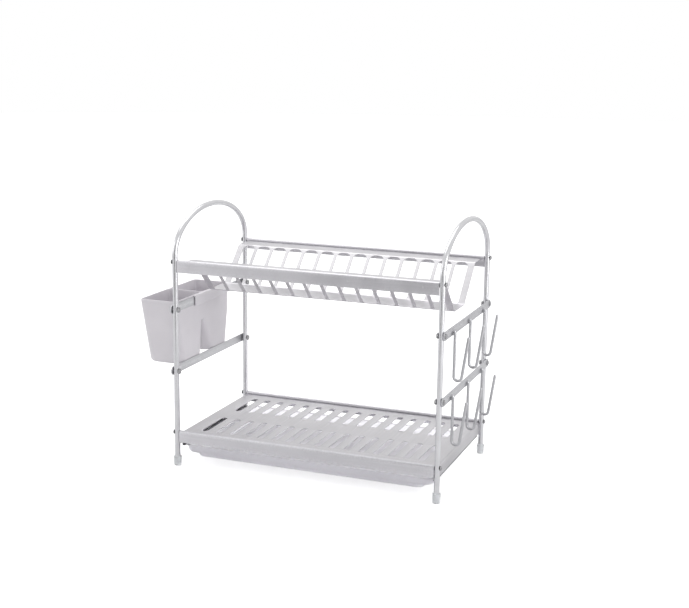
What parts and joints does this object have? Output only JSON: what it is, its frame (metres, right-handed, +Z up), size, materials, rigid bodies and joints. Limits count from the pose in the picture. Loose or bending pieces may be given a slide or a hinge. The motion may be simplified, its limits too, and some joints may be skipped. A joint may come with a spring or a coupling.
{
  "type": "dish drying rack",
  "caption": "Two-tier dish rack: arched tube end frames, slotted plate tray and lower shelf, sliding drip tray, cup hooks and a lift-off cutlery holder.",
  "frame": {"origin": "on the surface the feet stand on, below the middle of the whole rack's outline, cutlery holder and cup hooks included", "axes": "+X along the rack from the cutlery holder to the cup hooks, +Y from front to back, +Z up"},
  "size_m": [0.4996, 0.246, 0.3839],
  "materials": {
    "satin_aluminium": "satin anodised",
    "tray_aluminium": "satin sheet",
    "bright_steel": "bright turned steel",
    "clear_rubber": "clear grey, soft",
    "white_plastic": "semi-gloss white with a faint lilac tint",
    "frosted_plastic": "frosted, slightly see-through white",
    "grey_plastic": "matt dark grey"
  },
  "bodies": {
    "rack": {"bar_bolt_lower_front_left": "bright_steel", "bar_bolt_lower_front_right": "bright_steel", "bar_bolt_lower_rear_left": "bright_steel", "bar_bolt_lower_rear_right": "bright_steel", "bar_bolt_upper_front_left": "bright_steel", "bar_bolt_upper_front_right": "bright_steel", "bar_bolt_upper_rear_left": "bright_steel", "bar_bolt_upper_rear_right": "bright_steel", "cap_nut_lower_front_left": "bright_steel", "cap_nut_lower_front_right": "bright_steel", "cap_nut_lower_rear_left": "bright_steel", "cap_nut_lower_rear_right": "bright_steel", "cap_nut_upper_front_left": "bright_steel", "cap_nut_upper_front_right": "bright_steel", "cap_nut_upper_rear_left": "bright_steel", "cap_nut_upper_rear_right": "bright_steel", "crossbar_lower_left": "satin_aluminium", "crossbar_lower_right": "satin_aluminium", "crossbar_upper_left": "satin_aluminium", "crossbar_upper_right": "satin_aluminium", "cup_hook_lower_1": "satin_aluminium", "cup_hook_lower_2": "satin_aluminium", "cup_hook_lower_3": "satin_aluminium", "cup_hook_upper_1": "satin_aluminium", "cup_hook_upper_2": "satin_aluminium", "cup_hook_upper_3": "satin_aluminium", "drip_tray_runner_left": "grey_plastic", "drip_tray_runner_right": "grey_plastic", "end_frame_left": "satin_aluminium", "end_frame_right": "satin_aluminium", "foot_cap_front_left": "clear_rubber", "foot_cap_front_right": "clear_rubber", "foot_cap_rear_left": "clear_rubber", "foot_cap_rear_right": "clear_rubber", "lower_shelf": "tray_aluminium", "plate_tray": "tray_aluminium", "rail_lower_front": "satin_aluminium", "rail_lower_rear": "satin_aluminium", "rail_screw_lower_front_left": "bright_steel", "rail_screw_lower_front_right": "bright_steel", "rail_screw_lower_rear_left": "bright_steel", "rail_screw_lower_rear_right": "bright_steel", "rail_screw_upper_front_left": "bright_steel", "rail_screw_upper_front_right": "bright_steel", "rail_screw_upper_rear_left": "bright_steel", "rail_screw_upper_rear_right": "bright_steel", "rail_upper_front": "satin_aluminium", "rail_upper_rear": "satin_aluminium"},
    "drip_tray": {"drip_tray": "frosted_plastic"},
    "cutlery_holder": {"cutlery_holder": "white_plastic"}
  },
  "joints": [
    {"name": "drip_tray_slide", "type": "slide", "parent": "rack", "child": "drip_tray", "axis": [0, -1, 0], "range_m": [0, 0.24]},
    {"name": "cutlery_holder_lift", "type": "slide", "parent": "rack", "child": "cutlery_holder", "axis": [0, 0, 1], "range_m": [0, 0.1]}
  ]
}
